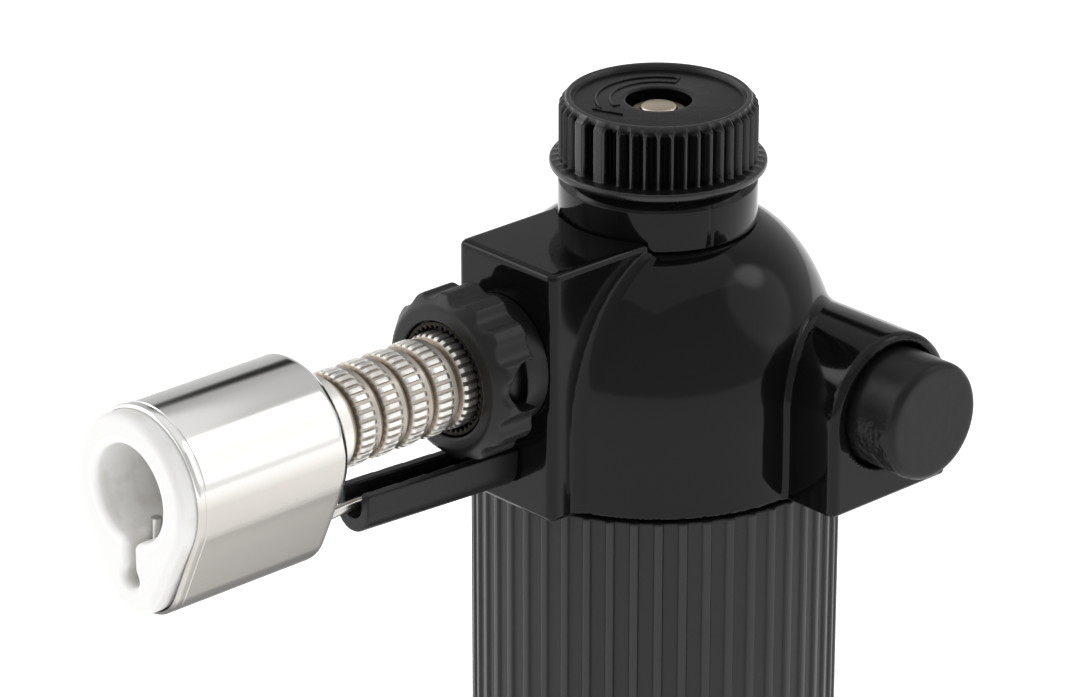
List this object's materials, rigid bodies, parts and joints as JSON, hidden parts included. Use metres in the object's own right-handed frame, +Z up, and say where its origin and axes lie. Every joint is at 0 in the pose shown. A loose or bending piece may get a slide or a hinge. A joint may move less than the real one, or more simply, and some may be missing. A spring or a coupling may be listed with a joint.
{
  "type": "butane_torch",
  "caption": "Handheld butane torch with a fluted tank grip, gas knob, knurled burner tube with adjustable air ring and ceramic mouth, and a piezo push button, on a removable foot",
  "frame": {"origin": "Centre of the foot's underside, on the axis of the grip, at z = 0.", "axes": "+Z up, -Y the way the burner points, +X the side of the igniter button."},
  "size_m": [0.0618, 0.1016, 0.1424],
  "materials": {
    "stand_plastic": "moulded black plastic, satin",
    "grip_plastic": "dark grey fluted plastic, matte",
    "black_plastic": "moulded black plastic, satin",
    "gloss_black": "polished black plastic",
    "button_rubber": "black rubbery plastic, slightly worn at the rim",
    "seal_rubber": "black seal rubber",
    "valve_brass": "turned brass",
    "dark_brass": "darkened brass",
    "nickel": "knurled nickel plate, heat tinted towards the mouth",
    "stainless": "polished stainless sheet",
    "spring_steel": "bright steel wire",
    "white_ceramic": "white unglazed ceramic",
    "pale_plastic": "natural plastic",
    "cotton": "undyed wick",
    "lead_sleeve": "black silicone sleeve"
  },
  "bodies": {
    "torch_body": {"tank_shell": "grip_plastic", "tank_bottom": "black_plastic", "tank_deck": "black_plastic", "refill_valve_body": "valve_brass", "refill_valve_seal": "seal_rubber", "refill_valve_spring": "spring_steel", "refill_valve_cap": "valve_brass", "valve_body": "valve_brass", "spindle_o_ring": "seal_rubber", "gland_bush": "valve_brass", "deck_o_ring": "seal_rubber", "wick_tube": "pale_plastic", "gas_wick": "cotton", "neck_collar": "gloss_black", "head_housing": "gloss_black", "gas_tube": "valve_brass", "jet_holder": "valve_brass", "jet_filter": "dark_brass", "gas_jet": "valve_brass", "air_hub": "black_plastic", "tube_lock_ring": "dark_brass", "burner_tube": "nickel", "burner_sleeve": "stainless", "ceramic_mouth": "white_ceramic", "flame_holder": "nickel", "electrode_rod": "spring_steel", "electrode_insulator": "white_ceramic", "lead_channel": "black_plastic", "ignition_lead": "lead_sleeve", "earth_wire": "spring_steel", "piezo_body": "pale_plastic", "piezo_spring": "spring_steel"},
    "knob": {"gas_knob": "black_plastic", "valve_spindle": "valve_brass"},
    "air_regulator": {"air_ring": "black_plastic"},
    "igniter": {"piezo_button": "button_rubber", "piezo_slider": "pale_plastic"},
    "refill_stem": {"refill_valve_stem": "valve_brass"},
    "stand": {"stand_base": "stand_plastic"}
  },
  "joints": [
    {"name": "knob_turn", "type": "hinge", "parent": "torch_body", "child": "knob", "pos_m": [0, 0, 0.138], "axis": [0, 0, 1], "range_deg": [0, 270]},
    {"name": "air_turn", "type": "hinge", "parent": "torch_body", "child": "air_regulator", "pos_m": [0, -0.028, 0.1188], "axis": [0, -1, 0], "range_deg": [0, 90]},
    {"name": "button_push", "type": "slide", "parent": "torch_body", "child": "igniter", "axis": [-1, 0, 0], "range_m": [0, 0.0045], "stiffness_N_per_m": 1500, "springref_m": -0.001, "deforming": ["piezo_spring"]},
    {"name": "refill_push", "type": "slide", "parent": "torch_body", "child": "refill_stem", "axis": [0, 0, 1], "range_m": [0, 0.0015], "stiffness_N_per_m": 800, "springref_m": -0.002, "deforming": ["refill_valve_spring"]},
    {"name": "stand_pull", "type": "slide", "parent": "torch_body", "child": "stand", "axis": [0, 0, -1], "range_m": [0, 0.025]}
  ]
}
